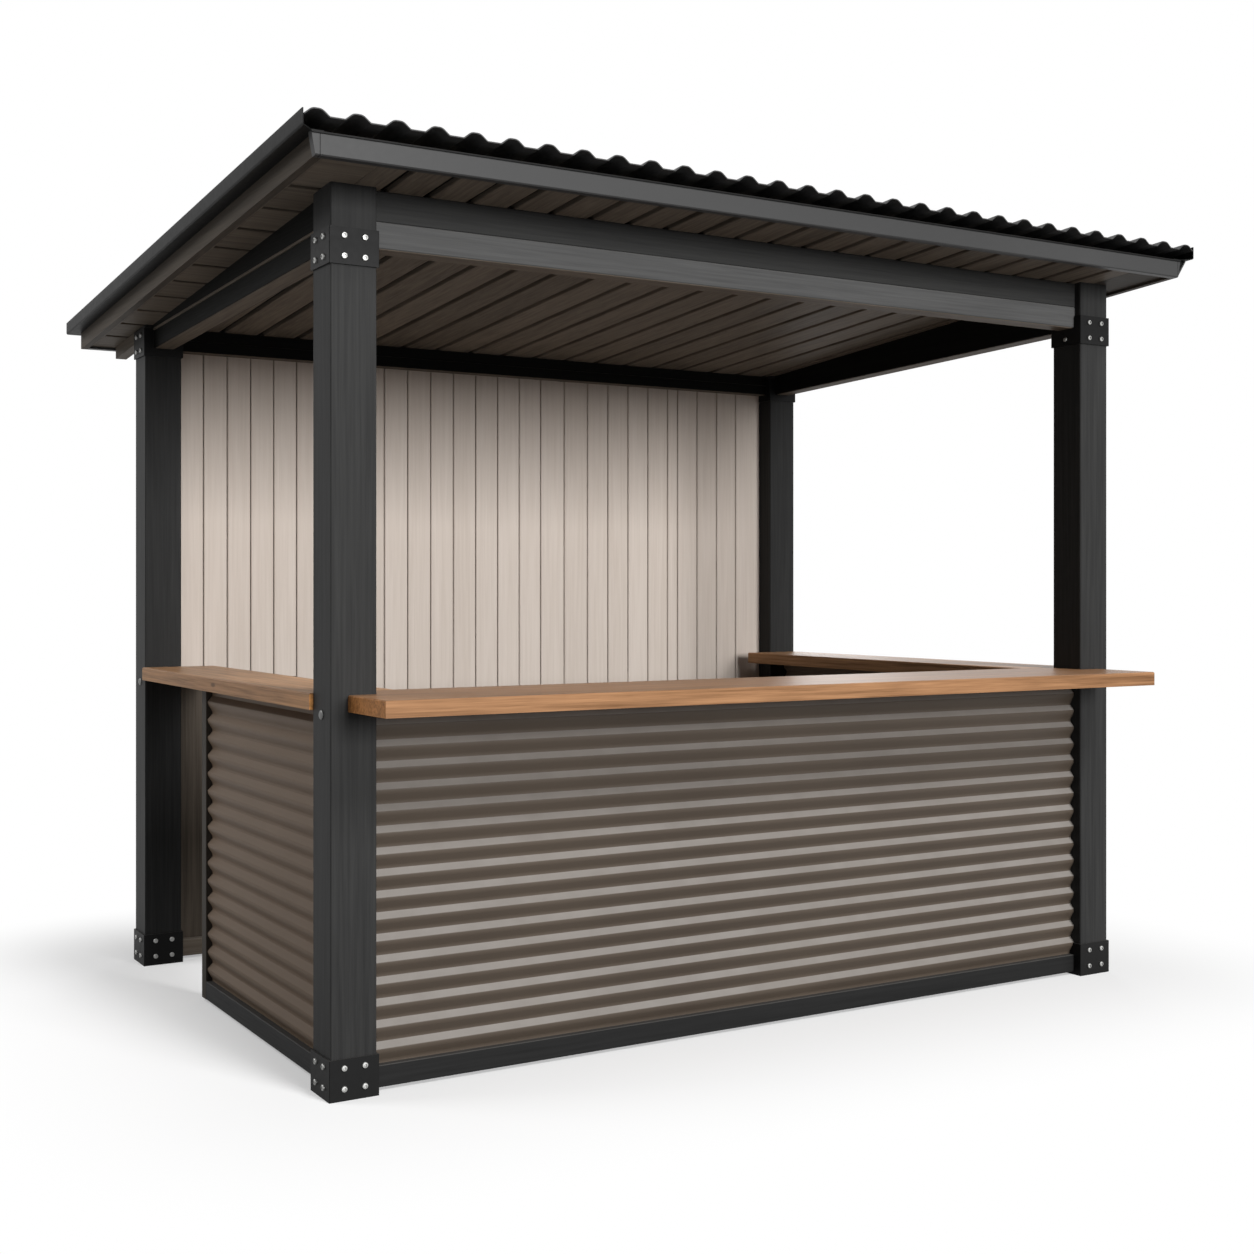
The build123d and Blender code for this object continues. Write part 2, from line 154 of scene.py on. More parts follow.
# %% Lamps
def soft_lamp(name, place, target, side, watts):
    """A square lamp at a place, turned towards a target."""
    lamp = bpy.data.objects.new(name, bpy.data.lights.new(name, "AREA"))
    lamp.data.size = side
    lamp.data.energy = watts
    lamp.location = place
    aim = np.subtract(target, place)
    level = math.hypot(aim[0], aim[1])
    lamp.rotation_euler = (math.atan2(level, -aim[2]), 0, math.atan2(aim[0], -aim[1]) + math.pi)
    bpy.context.scene.collection.objects.link(lamp)
    print(name, "at", place)


soft_lamp("front_lamp", place=(9.0, -83.2, 17.5), target=(0, 0, 1.4), side=26.0, watts=70000)
soft_lamp("high_lamp", place=(4.0, -21.0, 23.0), target=(0, -0.8, 0.6), side=7.0, watts=5600)
soft_lamp("side_lamp", place=(-4.8, 1.3, 4.8), target=(-1.3, 0, 1.0), side=2.0, watts=104)
soft_lamp("back_lamp", place=(6.0, 8.0, 4.5), target=(0.5, 0.5, 1.0), side=3.0, watts=130)

# %% [markdown]
# ## Floor
# The floor is a plain pale sheet. A studio has a sheet that curves up behind the object, but then the
# curve shows from other sides. Here one flat square is enough. Near the bar it is lit like anything else
# and keeps the shadow. A share of pure white is mixed in where it is seen directly, and that share grows
# with the distance from the bar, so the floor joins the background without an edge.

# %% Floor sheet
floor_reach = 40
floor_corners = [(x * floor_reach, y * floor_reach, 0) for x, y in ((-1, -1), (1, -1), (1, 1), (-1, 1))]
floor_mesh = bpy.data.meshes.new("studio_floor")
floor_mesh.from_pydata(floor_corners, [], [(0, 1, 2, 3)])
floor = bpy.data.objects.new("studio_floor", floor_mesh)
bpy.context.scene.collection.objects.link(floor)
print("floor side:", 2 * floor_reach)

# %% Floor finish
shadow_field, fade_reach, near_white = (1.3, 0.9, 0), 0.95, 0.36
shown_floor, lighting_floor = (0.95, 0.95, 0.95, 1), (0.28, 0.28, 0.28, 1)
floor_finish = bpy.data.materials.new("studio_floor")
floor_finish.use_nodes = True
tree = floor_finish.node_tree
tree.nodes.clear()
place = put(tree, "ShaderNodeTexCoord").outputs["Object"]
beside = vector_sums(tree, "SUBTRACT", vector_sums(tree, "ABSOLUTE", place), shadow_field)
away = length_of(tree, vector_sums(tree, "MAXIMUM", beside))
veil = put(tree, "ShaderNodeMapRange",
           {"Value": away, "From Min": 0.0, "From Max": fade_reach, "To Min": near_white, "To Max": 1.0},
           interpolation_type="SMOOTHSTEP").outputs[0]
direct = put(tree, "ShaderNodeLightPath").outputs["Is Camera Ray"]
matt = put(tree, "ShaderNodeBsdfDiffuse", {"Color": between(tree, direct, lighting_floor, shown_floor)})
glow = put(tree, "ShaderNodeEmission", {"Color": (1, 1, 1, 1), "Strength": 1.0})
either = put(tree, "ShaderNodeMixShader", {0: sums(tree, "MULTIPLY", veil, seen_directly(tree)),
                                           1: matt.outputs[0], 2: glow.outputs[0]})
put(tree, "ShaderNodeOutputMaterial", {"Surface": either.outputs[0]})
floor_mesh.materials.append(floor_finish)
print("floor fades over:", fade_reach)

# %% [markdown]
# ## Shared effects
# Timber grain, the skin of a paint coat and settled dust show up on many pieces; on the front sheets the dust
# also stands for a painted highlight. Each could be drawn again in every material. As a node group it is
# built once, and every material asks for it in the same way and only hands over its own colours.

# %% Group helpers
noise_low, noise_high = 0.3, 0.7


def new_group(name, inputs, outputs):
    """An empty node group with named inputs (kind and default) and outputs (kind)."""
    group = bpy.data.node_groups.new(name, "ShaderNodeTree")
    for label, (kind, default) in inputs.items():
        socket = group.interface.new_socket(label, in_out="INPUT", socket_type="NodeSocket" + kind)
        socket.default_value = default
    for label, kind in outputs.items():
        group.interface.new_socket(label, in_out="OUTPUT", socket_type="NodeSocket" + kind)
    return group, put(group, "NodeGroupInput").outputs, put(group, "NodeGroupOutput").inputs


def noise(tree, place, scale, detail=4.0, roughness=0.6, distortion=0.0):
    """Noise whose three scales, in blots a metre, stretch it along the axes."""
    stretched = put(tree, "ShaderNodeMapping", {"Vector": place, "Scale": scale}).outputs[0]
    return put(tree, "ShaderNodeTexNoise", {"Vector": stretched, "Scale": 1.0, "Detail": detail,
                                            "Roughness": roughness, "Distortion": distortion}).outputs[0]


def spread(tree, value, low, high, to_low, to_high):
    """A value moved from one range to another and kept inside it."""
    return put(tree, "ShaderNodeMapRange", {"Value": value, "From Min": low, "From Max": high,
                                            "To Min": to_low, "To Max": to_high}).outputs[0]


def noise_spread(tree, value, to_low, to_high):
    """Noise, most of which lies between its usual limits, moved to another range."""
    return spread(tree, value, noise_low, noise_high, to_low, to_high)


print("group helpers ready")

# %% [markdown]
# Grain is what a saw leaves of the tree's rings: long streaks along the board. A wave texture makes them
# too even. Noise that is stretched a long way along the board looks more like wood, and three sizes of it
# make the broad figure, the streaks and the fine fibres. A tone that a board brings along is added, so
# that neighbours differ.

# %% Timber grain
grain, given, result = new_group(
    "timber_grain",
    {"Place": ("Vector", (0, 0, 0)), "Deep": ("Color", (0, 0, 0, 1)), "Pale": ("Color", (1, 1, 1, 1)),
     "Tone": ("Float", 0.0)},
    {"Colour": "Color", "Fibre": "Float"})
figure = noise(grain, given["Place"], (1.3, 26, 26), 5.0, 0.62, 0.5)
streak = noise(grain, given["Place"], (2.6, 105, 105), 3.0, 0.6, 0.3)
fibre = noise(grain, given["Place"], (7, 330, 330), 3.0, 0.7)
share = sums(grain, "ADD", noise_spread(grain, figure, 0.05, 0.55), noise_spread(grain, streak, -0.2, 0.5))
share = sums(grain, "ADD", share, noise_spread(grain, fibre, -0.12, 0.22))
share = sums(grain, "ADD", share, given["Tone"])
grain.links.new(between(grain, share, given["Deep"], given["Pale"]), result["Colour"])
grain.links.new(sums(grain, "ADD", fibre, sums(grain, "MULTIPLY", figure, 0.5)), result["Fibre"])
print("group:", grain.name)

# %% [markdown]
# Paint on steel isn't perfectly even. Seen closely it has a fine pebbled skin, and over a hand's breadth
# its tone drifts a little. A plain colour would look like plastic, so three even noises give the drift, a
# faint mottle and the pebbles.

# %% Paint skin
skin, given, result = new_group(
    "paint_skin",
    {"Place": ("Vector", (0, 0, 0)), "Deep": ("Color", (0, 0, 0, 1)), "Pale": ("Color", (1, 1, 1, 1))},
    {"Colour": "Color", "Roughness": "Float", "Pebble": "Float"})
drift = noise(skin, given["Place"], (2, 2, 2), 2.0, 0.5)
mottle = noise(skin, given["Place"], (60, 60, 60), 2.0, 0.5)
pebble = noise(skin, given["Place"], (900, 900, 900), 1.0, 0.5)
share = sums(skin, "ADD", noise_spread(skin, drift, 0.1, 0.8), noise_spread(skin, mottle, 0.0, 0.12))
skin.links.new(between(skin, share, given["Deep"], given["Pale"]), result["Colour"])
skin.links.new(spread(skin, mottle, 0.2, 0.8, 0.42, 0.5), result["Roughness"])
skin.links.new(pebble, result["Pebble"])
print("group:", skin.name)

# %% [markdown]
# Dust lies where a face looks upwards. It could be painted on by hand, but the upward part of the normal
# already knows where that is, on every piece. Noise thins it here and there. Where a finish asks for a lot of
# it, as the front sheets do, the same mask also paints a highlight on their upward ledges.

# %% Settled dust and ledge highlight
# This mask is settled dust, and with a large amount it is also a painted highlight on upward ledges.
dust_and_highlight_slope = (0.3, 0.65)
dust_and_highlight, given, result = new_group(
    "settled_dust_and_ledge_highlight", {"Place": ("Vector", (0, 0, 0)), "Amount": ("Float", 0.2)}, {"Mask": "Float"})
normal = put(dust_and_highlight, "ShaderNodeNewGeometry").outputs["Normal"]
upward = put(dust_and_highlight, "ShaderNodeSeparateXYZ", {0: normal}).outputs["Z"]
patches = noise_spread(dust_and_highlight, noise(dust_and_highlight, given["Place"], (9, 9, 9), 5.0, 0.65), 0.80, 1.0)
dust_and_highlight_lying = sums(dust_and_highlight, "MULTIPLY", spread(dust_and_highlight, upward, *dust_and_highlight_slope, 0.0, 1.0), patches)
dust_and_highlight.links.new(sums(dust_and_highlight, "MULTIPLY", dust_and_highlight_lying, given["Amount"]), result["Mask"])
print("group:", dust_and_highlight.name)

# %% [markdown]
# ## Recipes for finishes
# Every finish here is a Principled shader, nearly always with a little dust over its colour; on the front
# sheets much more of it is laid, and there it is also a painted highlight. Both could be written out in each
# recipe. Two small functions keep them alike everywhere: one starts a material, the other lays the dust and
# the painted highlight.

# %% New material, dust and painted highlight
dust_and_highlight_colour = (0.345, 0.326, 0.306, 1)


def new_material(name):
    """A material with a Principled shader; gives the material, its tree, the shader and the place."""
    made = bpy.data.materials.new(name)
    made.use_nodes = True
    tree = made.node_tree
    tree.nodes.clear()
    shader = put(tree, "ShaderNodeBsdfPrincipled")
    put(tree, "ShaderNodeOutputMaterial", {"Surface": shader.outputs[0]})
    return made, tree, shader, put(tree, "ShaderNodeTexCoord").outputs["Object"]


def with_dust_and_highlight(tree, colour, place, amount):
    """The colour with settled dust laid over it; where much is laid, it is also a painted highlight."""
    mask = put(tree, "ShaderNodeGroup", {"Place": place, "Amount": amount}, node_tree=dust_and_highlight)
    return between(tree, mask.outputs[0], colour, dust_and_highlight_colour)


print("dust colour:", dust_and_highlight_colour)

# %% [markdown]
# Timber has its grain along one axis, and the grain group stretches along its own first axis. The group could
# be built three times, once for each direction. Turning the place before it goes in does the same with one
# group. A board piece carries a tone for each board as an attribute; pieces without one read zero. The end
# faces may get a tint of their own, which is painted light that makes them paler, and a polished top gets a
# clear coat.

# %% Timber recipe
turns = {"x": (0, 0, 0), "y": (0, 0, math.radians(-90)), "z": (0, math.radians(90), 0)}
facing_range, fibre_range, fibre_height, coat_roughness = (0.6, 0.9), (0.4, 1.1), 0.0006, 0.3


def timber(name, along, deep, pale, roughness=(0.45, 0.65), relief=0.2, gloss=0.3, dust_and_highlight_amount=0.12, ends=None,
           polish=0.0):
    """Painted or oiled timber with its grain along one axis.

    Ends is a tint of painted light that makes the end faces paler; polish is a clear coat on faces that look
    upwards.
    """
    made, tree, shader, place = new_material(name)
    turned = put(tree, "ShaderNodeMapping", {"Vector": place, "Rotation": turns[along]}).outputs[0]
    tone = put(tree, "ShaderNodeAttribute", attribute_name="tone").outputs["Fac"]
    wood = put(tree, "ShaderNodeGroup", {"Place": turned, "Tone": tone, "Deep": (*deep, 1),
                                         "Pale": (*pale, 1)}, node_tree=grain)
    colour = wood.outputs["Colour"]
    normal = put(tree, "ShaderNodeSeparateXYZ", {0: put(tree, "ShaderNodeNewGeometry").outputs["Normal"]})
    if polish:
        topside = spread(tree, normal.outputs["Z"], *facing_range, 0.0, polish)
        fill(tree, shader, {"Coat Weight": topside, "Coat Roughness": coat_roughness})
    # A paler tint on the end faces: painted light.
    if ends:
        facing = put(tree, "ShaderNodeMath", {0: normal.outputs[along.upper()]}, operation="ABSOLUTE")
        share = spread(tree, facing.outputs[0], *facing_range, 0.0, 1.0)
        colour = put(tree, "ShaderNodeMix", {0: share, 6: colour, 7: (*ends, 1)}, data_type="RGBA",
                     blend_type="MULTIPLY").outputs[2]
    bump = put(tree, "ShaderNodeBump",
               {"Height": wood.outputs["Fibre"], "Strength": relief, "Distance": fibre_height})
    fill(tree, shader, {"Base Color": with_dust_and_highlight(tree, colour, place, dust_and_highlight_amount),
                        "Roughness": spread(tree, wood.outputs["Fibre"], *fibre_range, *roughness),
                        "Normal": bump.outputs[0], "Specular IOR Level": gloss})
    return made


print("grain along:", list(turns))

# %% [markdown]
# Coated metal takes its tone, its roughness and its fine bump from the paint skin. Plated metal without
# paint takes the same drift of tone, but on a metallic shader, so that it mirrors the white room. One
# function with a switch could make both, but two short ones are easier to read.

# %% Metal recipes
pebble_height = 0.0003


def coated(name, deep, pale, relief=0.08, gloss=0.4, dust_and_highlight_amount=0.1):
    """Sheet metal or steel under a coat of paint."""
    made, tree, shader, place = new_material(name)
    coat = put(tree, "ShaderNodeGroup", {"Place": place, "Deep": (*deep, 1), "Pale": (*pale, 1)},
               node_tree=skin)
    bump = put(tree, "ShaderNodeBump",
               {"Height": coat.outputs["Pebble"], "Strength": relief, "Distance": pebble_height})
    fill(tree, shader, {"Base Color": with_dust_and_highlight(tree, coat.outputs["Colour"], place, dust_and_highlight_amount),
                        "Roughness": coat.outputs["Roughness"], "Normal": bump.outputs[0],
                        "Specular IOR Level": gloss})
    return made


def bare_metal(name, deep, pale):
    """Plated metal without paint: the skin's tones on a metallic shader."""
    made, tree, shader, place = new_material(name)
    plating = put(tree, "ShaderNodeGroup", {"Place": place, "Deep": (*deep, 1), "Pale": (*pale, 1)},
                  node_tree=skin)
    fill(tree, shader, {"Base Color": plating.outputs["Colour"], "Metallic": 1.0,
                        "Roughness": plating.outputs["Roughness"]})
    return made


print("pebble height:", pebble_height)

# %% [markdown]
# ## The finishes
# The posts are stained charcoal. The two timbers of the front beam are paler; the upper one gets a darker
# copy of the lower one's paint, which is painted shade under the eaves. The beams at the sides and at the
# back are almost black, as are the rails under the sheets. The boards under the roof are taupe. The barge
# boards and the boards under the right edge of the roof get darker copies of it, which are painted shade, and
# the boards low on the wall are darker too. The back wall is pale. One material with a tint for each piece
# would do, but a finish of its own under its own name is easier to change.

# %% Timber finishes
charcoal = timber("charcoal_timber_z", "z", (0.0145, 0.0145, 0.0145), (0.029, 0.029, 0.0285), gloss=0.09)
black = {axis: timber("black_timber_" + axis, axis, (0.004, 0.004, 0.004), (0.008, 0.008, 0.007), gloss=0.03)
         for axis in "xy"}
taupe = {axis: timber("taupe_timber_" + axis, axis, (0.090, 0.074, 0.057), (0.185, 0.153, 0.121), gloss=0.06)
         for axis in "xy"}
# A darker copy of the taupe for the barge boards: painted shade under the flashing.
barge_taupe_painted_shade = timber("taupe_barge_painted_shade_y", "y", (0.042, 0.034, 0.027), (0.088, 0.073, 0.058), gloss=0.05)
# A still darker copy for the boards under the right edge of the roof: painted shade.
right_verge_taupe_painted_shade = timber("taupe_right_verge_painted_shade_x", "x", (0.028, 0.023, 0.018), (0.060, 0.050, 0.040), gloss=0.05)
pale = timber("pale_boards", "z", (0.555, 0.48, 0.42), (0.625, 0.55, 0.49), relief=0.1, gloss=0.12)
# The upper front beam's darker copy of the beam paint is painted shade under the eaves.
beam_upper_painted_shade = timber("charcoal_beam_upper_painted_shade", "x", (0.025, 0.025, 0.025), (0.039, 0.039, 0.038), gloss=0.03)
beam_face = timber("charcoal_beam_face", "x", (0.072, 0.072, 0.072), (0.108, 0.108, 0.107), gloss=0.03)
jamb_taupe = timber("taupe_jamb_z", "z", (0.040, 0.035, 0.029), (0.075, 0.066, 0.056), gloss=0.05)
lower_taupe = timber("taupe_lower_wall_z", "z", (0.064, 0.052, 0.041), (0.120, 0.099, 0.079), gloss=0.05)
rail = {axis: timber("dark_rail_" + axis, axis, (0.006, 0.006, 0.006), (0.012, 0.012, 0.012), gloss=0.12)
        for axis in "xy"}
lining = timber("dark_lining", "x", (0.0015, 0.0013, 0.001), (0.003, 0.0026, 0.002), gloss=0.05)
print("materials so far:", len(bpy.data.materials))

# %% [markdown]
# The trims along the roof's edge are coated in charcoal, and the shoes and brackets are black steel. The roof
# sheet is black. The sheets around the bar are taupe. At the front their ledges carry a thick layer of dust
# that also stands for a painted highlight, which makes the pale lines, and at the sides the sheets are paler
# and carry less of it. Bolts are plated with zinc. All of them could be told apart by colour alone, but
# gloss, dust and the painted highlight do more than a change of grey.

# %% Metal finishes
trim = coated("charcoal_trim", (0.032, 0.032, 0.032), (0.039, 0.039, 0.039), gloss=0.2)
dark_trim = coated("dark_trim", (0.006, 0.006, 0.006), (0.009, 0.009, 0.009), gloss=0.07)
steel = coated("black_steel", (0.005, 0.005, 0.005), (0.009, 0.009, 0.009), gloss=0.1)
black_sheet = coated("black_sheet", (0.045, 0.045, 0.045), (0.058, 0.058, 0.058), gloss=0.12, dust_and_highlight_amount=0.03)
# On the front sheet the large dust amount is also a painted highlight on the ledges.
taupe_sheet = coated("taupe_sheet", (0.060, 0.046, 0.035), (0.075, 0.058, 0.044), gloss=0.2, dust_and_highlight_amount=0.53)
side_sheet = coated("taupe_sheet_side", (0.185, 0.135, 0.097), (0.229, 0.168, 0.122), gloss=0.04, dust_and_highlight_amount=0.1)
zinc = bare_metal("zinc_bolts", (0.28, 0.28, 0.27), (0.42, 0.42, 0.41))
dull_zinc = bare_metal("dull_zinc", (0.12, 0.12, 0.12), (0.20, 0.20, 0.19))
print("materials:", len(bpy.data.materials))

# %% [markdown]
# The counters are oiled oak with a soft sheen on top, and their end faces get a paler tint, which is painted
# light. The side counters are cut from paler boards, and the left one shows a knot on its outer edge. A knot
# is where a branch grew through the board: dark rings in an eye drawn out along the grain. A painted spot
# would need an image, so it is made as the distance from its middle, squeezed along each axis, with a sine
# for the rings.

# %% Oak and its knot
oak_tones = {"x": ((0.14, 0.066, 0.028), (0.40, 0.210, 0.103)),
             "y": ((0.21, 0.105, 0.046), (0.56, 0.310, 0.155))}
# The tint on the end faces is painted light that makes them paler.
oak = {axis: timber("oak_" + axis, axis, *tones, roughness=(0.42, 0.56), relief=0.15, gloss=0.10, dust_and_highlight_amount=0.02,
                    ends=(1.7, 1.45, 1.0), polish=0.3) for axis, tones in oak_tones.items()}
knot_place, knot_reach, knot_colour = (-1.395, -0.045, 1.006), (0.03, 0.030, 0.009), (0.045, 0.020, 0.009, 1)
ring_rate, core_share = 14.0, 0.3
tree = oak["y"].node_tree
shader = next(node for node in tree.nodes if node.type == "BSDF_PRINCIPLED")
place = next(node for node in tree.nodes if node.type == "TEX_COORD").outputs["Object"]
offset = vector_sums(tree, "SUBTRACT", place, knot_place)
away = length_of(tree, vector_sums(tree, "DIVIDE", offset, knot_reach))
rings = put(tree, "ShaderNodeMath", {0: sums(tree, "MULTIPLY", away, ring_rate)}, operation="SINE").outputs[0]
eye_share = sums(tree, "MULTIPLY", spread(tree, away, core_share, 1.0, 0.9, 0.0),
                 spread(tree, rings, -1.0, 1.0, 0.55, 1.0))
plain = shader.inputs["Base Color"].links[0].from_socket
fill(tree, shader, {"Base Color": between(tree, eye_share, plain, knot_colour)})
print("knot at:", knot_place)

# %% [markdown]
# Each CAD node now takes the finish of its family, with the grain along its own length. A list of all
# nodes would be long. Their names say what they are, so the first match in a short list is enough.

# %% Finish the frame
families = [
    ("post_shoe", steel), ("post_bracket", steel), ("post_", charcoal), ("panel_jamb", jamb_taupe),
    ("side_beam", black["y"]), ("front_beam_upper", beam_upper_painted_shade), ("front_beam_lower", beam_face),
    ("back_beam", black["x"]), ("back_bottom", taupe["x"]), ("left_bottom", rail["y"]),
    ("right_bottom", rail["y"]), ("bottom_rail", rail["x"]), ("rafter_tail", taupe["y"]),
    ("barge_board", barge_taupe_painted_shade), ("verge_soffit", taupe["x"]), ("ceiling", taupe["y"]),
    ("batten", taupe["x"]), ("flashing", dark_trim), ("fascia", trim), ("roof_sheet", black_sheet),
    ("front_counter", oak["x"]), ("counter", oak["y"]), ("panel", taupe_sheet), ("back_wall", pale)]
for name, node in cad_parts.items():
    finish = next(material for word, material in families if word in name)
    for slot in node.material_slots:
        slot.material = finish
print("finished nodes:", len(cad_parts))

# %% [markdown]
# ## From arrays to pieces
# Sheets and boards have a section with two long lines: the face and the back. Blender could extrude each
# one by itself. Arrays make all copies of a board at once instead: carrying the section along a path gives
# rings of points, quads join each ring to the next, and quads between the two lines close the ends.

# %% Strips
def closed_strips(upper, lower):
    """Points and quads of solids from arrays of shape (copies, stations, points, 3).

    Each ring runs out along the upper line and back along the lower one.
    """
    ring = np.concatenate([upper, lower[:, :, ::-1]], axis=2)
    index = np.arange(ring[..., 0].size).reshape(ring.shape[:3])
    ahead = np.roll(index, -1, axis=2)
    sides = np.stack([index[:, :-1], ahead[:, :-1], ahead[:, 1:], index[:, 1:]], axis=-1)
    half = ring.shape[2] // 2
    there, back = index[:, [0, -1], :half], index[:, [0, -1], :half - 1:-1]
    ends = np.stack([there[..., :-1], there[..., 1:], back[..., 1:], back[..., :-1]], axis=-1)
    return ring.reshape(-1, 3), np.concatenate([sides.reshape(-1, 4), ends.reshape(-1, 4)])


def laid(section, stations, place):
    """Sections (copies, points, 2) carried along stations; place turns (across, deep, along) into x, y, z."""
    along = np.atleast_2d(stations)[:, :, None]
    spots = place(section[:, None, :, 0], section[:, None, :, 1], along)
    return np.stack(np.broadcast_arrays(*spots), axis=-1)


print("strips ready")

# %% [markdown]
# A piece is a mesh made from those arrays. Its faces are turned outwards, and edges sharper than a set
# angle stay crisp while the rest is shaded smooth. Each board of a piece draws a tone of its own, from a
# fixed seed, so that every run gives the same boards.

# %% Pieces
crisp_angle, tone_reach = math.radians(32), 0.22


def new_piece(name, points, quads, finish, slot=None, copies=0):
    """A mesh from whole arrays, its faces turned outwards, hung on the frame; each copy gets a tone."""
    mesh = bpy.data.meshes.new(name)
    mesh.from_pydata(points, [], quads)
    shell = bmesh.new()
    shell.from_mesh(mesh)
    bmesh.ops.recalc_face_normals(shell, faces=shell.faces)
    shell.to_mesh(mesh)
    shell.free()
    mesh.shade_smooth()
    mesh.set_sharp_from_angle(angle=crisp_angle)
    if copies:
        tones = np.random.default_rng(len(name)).uniform(-tone_reach, tone_reach, copies)
        mesh.attributes.new("tone", "FLOAT", "POINT").data.foreach_set(
            "value", np.repeat(tones, len(points) // copies))
    mesh.materials.append(finish)
    piece = bpy.data.objects.new(name, mesh)
    bpy.context.scene.collection.objects.link(piece)
    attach(piece, "root")
    print(name, "quads:", len(quads))
    return piece


print("crisp above:", round(math.degrees(crisp_angle)), "degrees")

# %% [markdown]
# The roof falls evenly from the front to the rear, and many pieces follow that fall. It could be typed in
# as an angle. Reading it from the CAD ceiling keeps the pieces on the frame if the frame changes.

# %% Roof fall
def node_points(name):
    """All points of a CAD node, in the shared frame."""
    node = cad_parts[name]
    points = np.empty(3 * len(node.data.vertices))
    node.data.vertices.foreach_get("co", points)
    turn = np.array(node.matrix_world)
    return points.reshape(-1, 3) @ turn[:3, :3].T + turn[:3, 3]


def soffit(y):
    """Height of the underside of the roof, which falls evenly from the front to the rear."""
    return front_z - roof_fall * (y - front_y)


ceiling_points, same_place = node_points("ceiling"), 0.001
front_y, rear_y = boxes["ceiling"][:, 1]
front_z, rear_z = (ceiling_points[abs(ceiling_points[:, 1] - y) < same_place, 2].min()
                   for y in (front_y, rear_y))
roof_fall = (front_z - rear_z) / (rear_y - front_y)
print("roof fall:", round(roof_fall, 4))

# %% [markdown]
# ## Bent sheets
# A corrugated sheet is one flat sheet bent to and fro by rollers. A sine wave comes close, but real sheets
# have straight flanks with an arc in every bend, and the light shows it. Where the line turns by an angle,
# an arc touches both runs at the radius times the tangent of half that angle from the corner. The two
# skins lie half a thickness to either side.

# %% Bent line
sheet_thickness = 0.003


def bent_line(corners, radii, thickness, steps=6):
    """The two skins of a bent sheet, each of shape (1, points, 2).

    A point of an arc is its centre less the radius times the normal, while the normal turns evenly
    from that of the run before to that of the run after.
    """
    runs = np.diff(corners, axis=0)
    heading = np.arctan2(runs[:, 1], runs[:, 0])
    turn = np.diff(heading)
    radius = np.sign(turn) * radii
    reach = (abs(radius) * np.tan(abs(turn) / 2))[:, None]
    ahead = np.stack([np.cos(heading), np.sin(heading)], axis=1)
    aside = np.stack([-np.sin(heading), np.cos(heading)], axis=1)
    centre = corners[1:-1] - ahead[:-1] * reach + aside[:-1] * radius[:, None]
    angle = heading[:-1, None] + turn[:, None] * np.linspace(0, 1, steps)
    normal = np.stack([-np.sin(angle), np.cos(angle)], axis=-1)
    arc = centre[:, None] - normal * radius[:, None, None]
    line = np.concatenate([corners[:1], arc.reshape(-1, 2), corners[-1:]])
    normal = np.concatenate([aside[:1], normal.reshape(-1, 2), aside[-1:]])
    return (line + normal * thickness / 2)[None], (line - normal * thickness / 2)[None]


print("sheet thickness:", sheet_thickness)

# %% [markdown]
# The roof sheet has narrow crests with wide, flat troughs between them. Its crests run down the slope, so
# the section lies across the roof and is carried from the front edge to the rear one along the fall.

# %% Roof sheet
roof_pitch, roof_depth, roof_lean, crest_width = 0.1044, 0.0165, math.radians(39), 0.024
trough_radius, crest_radius, roof_stations = 0.006, 0.022, 9
roof_low, roof_high = boxes["roof_sheet"]
flank = roof_depth / math.tan(roof_lean)
foot = crest_width + 2 * flank
roof_reach = roof_high[0] - sheet_thickness / 2 * math.sin(roof_lean)
crests = round((2 * roof_reach - foot) / roof_pitch) + 1
middles = np.linspace(foot / 2 - roof_reach, roof_reach - foot / 2, crests)
across = middles[:, None] + np.array([-foot / 2, -crest_width / 2, crest_width / 2, foot / 2])
rise = np.broadcast_to(np.array([0, roof_depth, roof_depth, 0]), across.shape)
corners = np.stack([across.ravel(), rise.ravel()], axis=1)
radii = np.tile([trough_radius, crest_radius, crest_radius, trough_radius], crests)[1:-1]
seat = roof_high[2] - roof_depth - sheet_thickness / 2 - soffit(roof_low[1])
stations = np.linspace(roof_low[1], roof_high[1], roof_stations)
skins = [laid(line, stations, lambda across, deep, along: (across, along, soffit(along) + seat + deep))
         for line in bent_line(corners, radii, sheet_thickness)]
roof = new_piece("roof_corrugated_sheet", *closed_strips(*skins), black_sheet, "black_sheet")
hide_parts("roof_sheet")
print("crests:", crests)

# %% [markdown]
# The sheets around the bar are bent the same way, but laid on their side: the waves run level and the
# section climbs from the bottom rail to the counter. Each wave swells out in a slow curve and falls back
# in a straight ledge with crisp edges. Bump in a material would not catch the light on those ledges or
# show at the sheet's ends, so the waves are real. The last one ends in a flat band under the counter.

# %% Apron section
wave, wave_depth, ledge, swell_lean, flat_band = 0.0558, 0.015, 0.0166, math.radians(32), 0.020
swell_radius, ledge_radius, apron_stations = 0.022, 0.0025, 5
swell = wave_depth / math.tan(swell_lean)
rest = (wave - ledge - swell) / 2
foot_z, top_z = boxes["front_panel"][:, 2]
waves = int((top_z - foot_z - flat_band) // wave)
steps = np.array([rest, rest + swell, wave - ledge, wave])
climb = (np.arange(waves)[:, None] * wave + steps).ravel()
out = np.tile([-wave_depth / 2, wave_depth / 2, wave_depth / 2, -wave_depth / 2], waves)
corners = np.stack([foot_z + np.concatenate([[0], climb, [top_z - foot_z]]),
                    np.concatenate([[-wave_depth / 2], out, [-wave_depth / 2]])], axis=1)
radii = np.tile([swell_radius, swell_radius, ledge_radius, ledge_radius], waves)
lines = bent_line(corners, radii, sheet_thickness)
print("waves:", waves)

